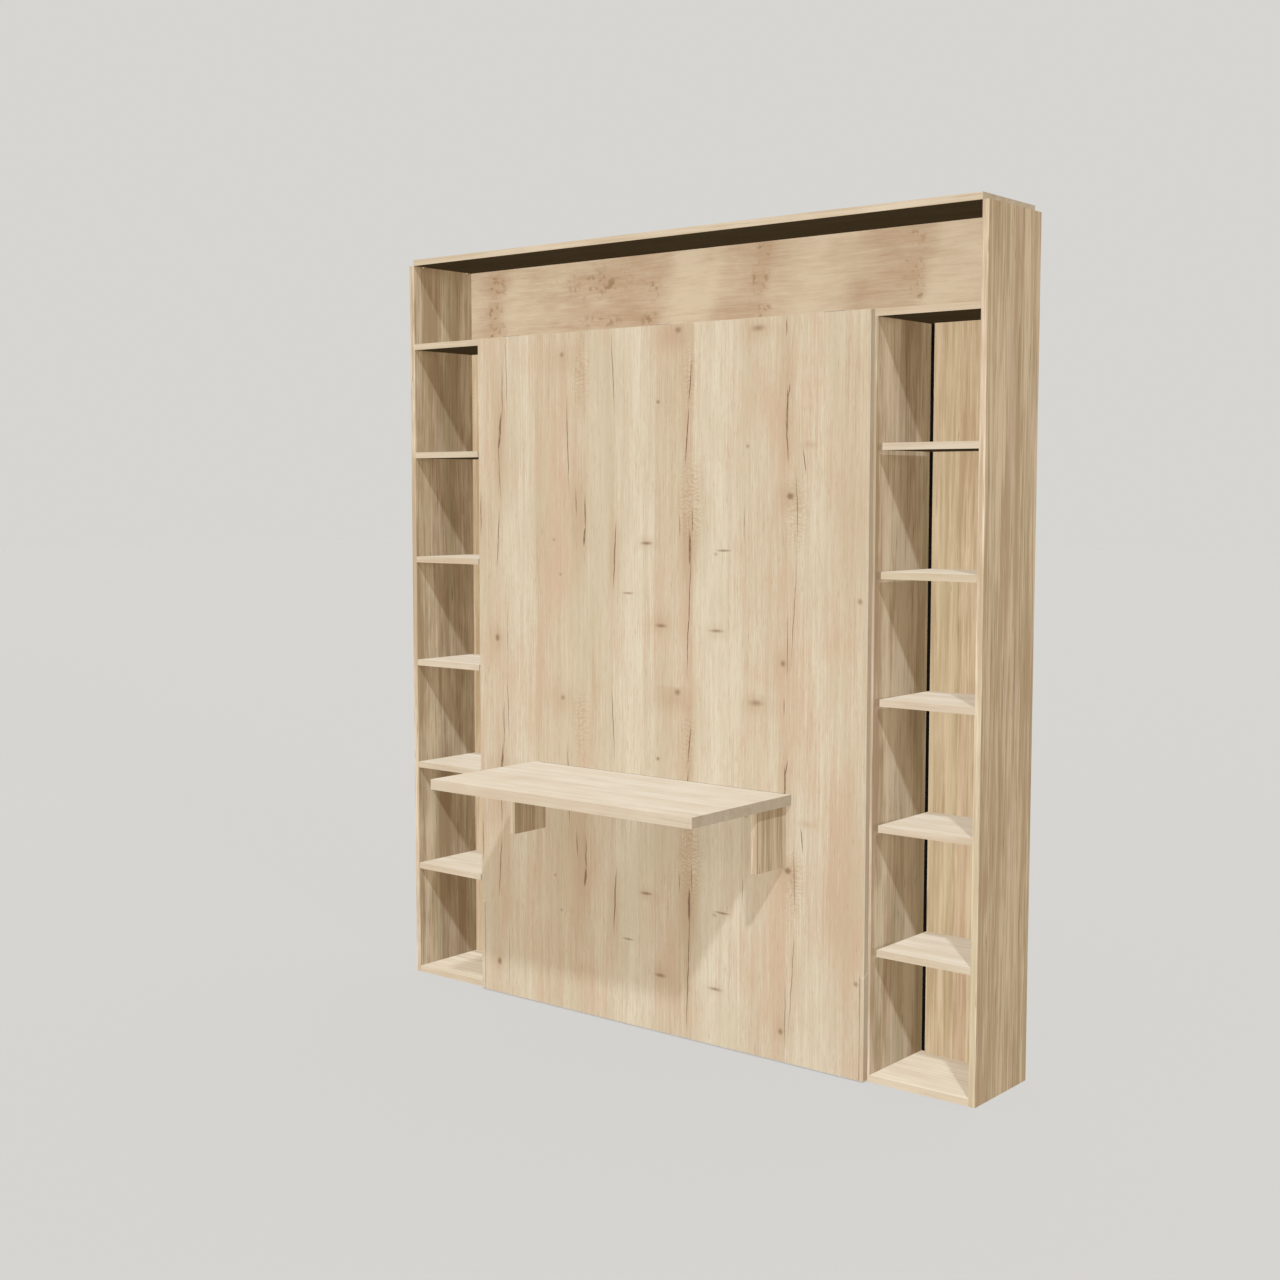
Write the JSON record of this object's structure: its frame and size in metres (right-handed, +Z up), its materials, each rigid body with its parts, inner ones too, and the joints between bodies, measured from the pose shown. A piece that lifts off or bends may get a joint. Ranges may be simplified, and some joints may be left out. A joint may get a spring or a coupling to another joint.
{
  "type": "wall bed",
  "caption": "Tilting wall bed closed into an open bookcase, with a desk shelf on its front, shelf columns at both sides and a niche above.",
  "frame": {"origin": "on the floor, under the middle of the outer box of the closed bed with its desk out", "axes": "+Z up, +Y from the front towards the wall, +X to the right seen from the front"},
  "size_m": [1.98, 0.715, 2.218],
  "materials": {
    "oak": "matt oak decor, fine vertical grain",
    "front_oak": "matt light oak decor, upright boards with knots",
    "desk_oak": "matt light oak decor",
    "inner_board": "plain board",
    "beech": "plain beech",
    "slat_beech": "lacquered beech ply",
    "dark_strip": "matt black",
    "pad_rubber": "soft black",
    "holder_plastic": "matt black",
    "zinc_steel": "zinc plated",
    "hinge_steel": "satin nickel plated",
    "bush_bronze": "sintered bronze",
    "magnet": "nickel plated",
    "frame_steel": "grey powder coat",
    "mattress_cloth": "knitted ticking",
    "strap_webbing": "woven webbing",
    "strut_tube": "black enamel",
    "strut_rod": "bright chrome"
  },
  "bodies": {
    "cabinet": {"bottom_panel_left": "oak", "bottom_panel_right": "oak", "bumper_pads": "pad_rubber", "column_back_left": "oak", "column_back_right": "oak", "divider_left": "oak", "divider_right": "oak", "foot_ledger": "oak", "front_filler_strips": "oak", "niche_floor_left": "oak", "niche_floor_right": "oak", "pivot_bushes": "bush_bronze", "pivot_plates": "zinc_steel", "rear_braces": "inner_board", "shelf_1_left": "oak", "shelf_1_right": "oak", "shelf_2_left": "oak", "shelf_2_right": "oak", "shelf_3_left": "oak", "shelf_3_right": "oak", "shelf_4_left": "oak", "shelf_4_right": "oak", "shelf_5_left": "oak", "shelf_5_right": "oak", "shelf_dowels": "beech", "side_panel_left": "oak", "side_panel_right": "oak", "slot_covers": "dark_strip", "strut_anchor_studs": "zinc_steel", "top_panel": "oak", "top_panel_pins": "zinc_steel", "upper_back": "oak"},
    "bed": {"bed_front": "front_oak", "bed_side_rail_left": "frame_steel", "bed_side_rail_right": "frame_steel", "bed_head_rail": "frame_steel", "bed_foot_rail": "frame_steel", "front_battens": "inner_board", "slats": "slat_beech", "slat_holders": "holder_plastic", "mattress": "mattress_cloth", "mattress_straps": "strap_webbing", "pivot_pins": "zinc_steel", "strut_rail_studs": "zinc_steel", "desk_bracket_left": "desk_oak", "desk_bracket_right": "desk_oak", "bracket_screws": "zinc_steel", "desk_hinge_bed_leaf": "hinge_steel", "hinge_pins": "zinc_steel", "front_magnets": "magnet", "foot_hinge_bed_leaves": "hinge_steel"},
    "desk": {"desk_top": "desk_oak", "desk_hinge_top_leaf": "hinge_steel", "desk_magnets": "magnet"},
    "foot": {"foot_board": "oak", "foot_hinge_board_leaves": "hinge_steel"},
    "strut_tube_left": {"strut_cylinder_left": "strut_tube"},
    "strut_tube_right": {"strut_cylinder_right": "strut_tube"},
    "strut_rod_left": {"strut_rod_left": "strut_rod"},
    "strut_rod_right": {"strut_rod_right": "strut_rod"}
  },
  "joints": [
    {"name": "bed_tilt", "type": "hinge", "parent": "cabinet", "child": "bed", "pos_m": [0, 0.1045, 0.24], "axis": [1, 0, 0], "range_deg": [0, 90]},
    {"name": "desk_fold", "type": "hinge", "parent": "bed", "child": "desk", "pos_m": [0, 0.0675, 0.7216], "axis": [-1, 0, 0], "range_deg": [0, 90]},
    {"name": "foot_flip", "type": "hinge", "parent": "bed", "child": "foot", "pos_m": [0, 0.0895, 1.9635], "axis": [1, 0, 0], "range_deg": [0, 180]},
    {"name": "strut_swing_left", "type": "hinge", "parent": "cabinet", "child": "strut_tube_left", "pos_m": [-0.654, 0.2745, 0.7], "axis": [1, 0, 0], "range_deg": [0, 15.12]},
    {"name": "strut_stroke_left", "type": "slide", "parent": "strut_tube_left", "child": "strut_rod_left", "axis": [0, 0.2605, 0.9655], "range_m": [0, 0.19273]},
    {"name": "strut_swing_right", "type": "hinge", "parent": "cabinet", "child": "strut_tube_right", "pos_m": [0.654, 0.2745, 0.7], "axis": [1, 0, 0], "range_deg": [0, 15.12]},
    {"name": "strut_stroke_right", "type": "slide", "parent": "strut_tube_right", "child": "strut_rod_right", "axis": [0, 0.2605, 0.9655], "range_m": [0, 0.19273]}
  ],
  "couplings": [
    {"joint": "desk_fold", "follows": "bed_tilt", "ratio": 1},
    {"joint": "foot_flip", "follows": "bed_tilt", "ratio": 2},
    {"joint": "strut_swing_left", "follows": "bed_tilt", "ratio": 0.16779},
    {"joint": "strut_stroke_left", "follows": "bed_tilt", "m_per_rad": 0.12257},
    {"joint": "strut_swing_right", "follows": "bed_tilt", "ratio": 0.16779},
    {"joint": "strut_stroke_right", "follows": "bed_tilt", "m_per_rad": 0.12257}
  ]
}
